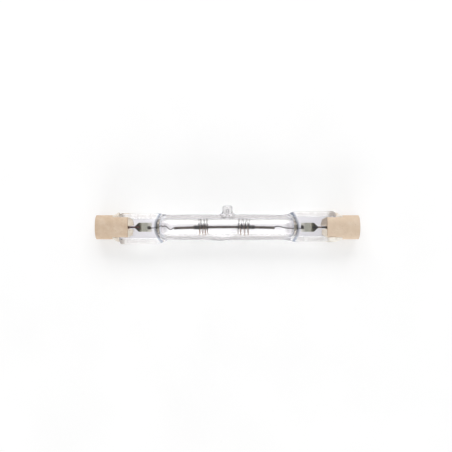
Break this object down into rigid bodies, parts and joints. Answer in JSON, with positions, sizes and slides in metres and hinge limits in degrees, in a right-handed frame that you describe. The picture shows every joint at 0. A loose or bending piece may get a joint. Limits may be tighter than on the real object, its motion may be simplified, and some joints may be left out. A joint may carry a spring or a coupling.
{
  "type": "linear halogen bulb",
  "caption": "Double-ended halogen lamp: clear quartz tube with pinched ends and a sealed-off tip, coiled filament on wound wire supports, slotted ceramic caps with recessed contacts.",
  "frame": {"origin": "on the lamp axis, midway between the two contacts", "axes": "+X along the lamp axis to the right-hand contact, +Y towards the sealed-off exhaust tip, +Z normal to the flat of the pinch seals"},
  "size_m": [0.0782, 0.0117, 0.0076],
  "materials": {
    "quartz": "clear",
    "tungsten": "dull",
    "molybdenum": "satin",
    "steatite": "matte",
    "cement": "matte",
    "contact_metal": "satin"
  },
  "bodies": {
    "root": {"quartz_envelope": "quartz", "filament": "tungsten", "left_filament_support": "tungsten", "right_filament_support": "tungsten", "left_foil": "molybdenum", "right_foil": "molybdenum", "left_lead": "molybdenum", "right_lead": "molybdenum", "left_cap": "steatite", "right_cap": "steatite", "left_cement": "cement", "right_cement": "cement", "left_contact": "contact_metal", "right_contact": "contact_metal"}
  },
  "joints": []
}
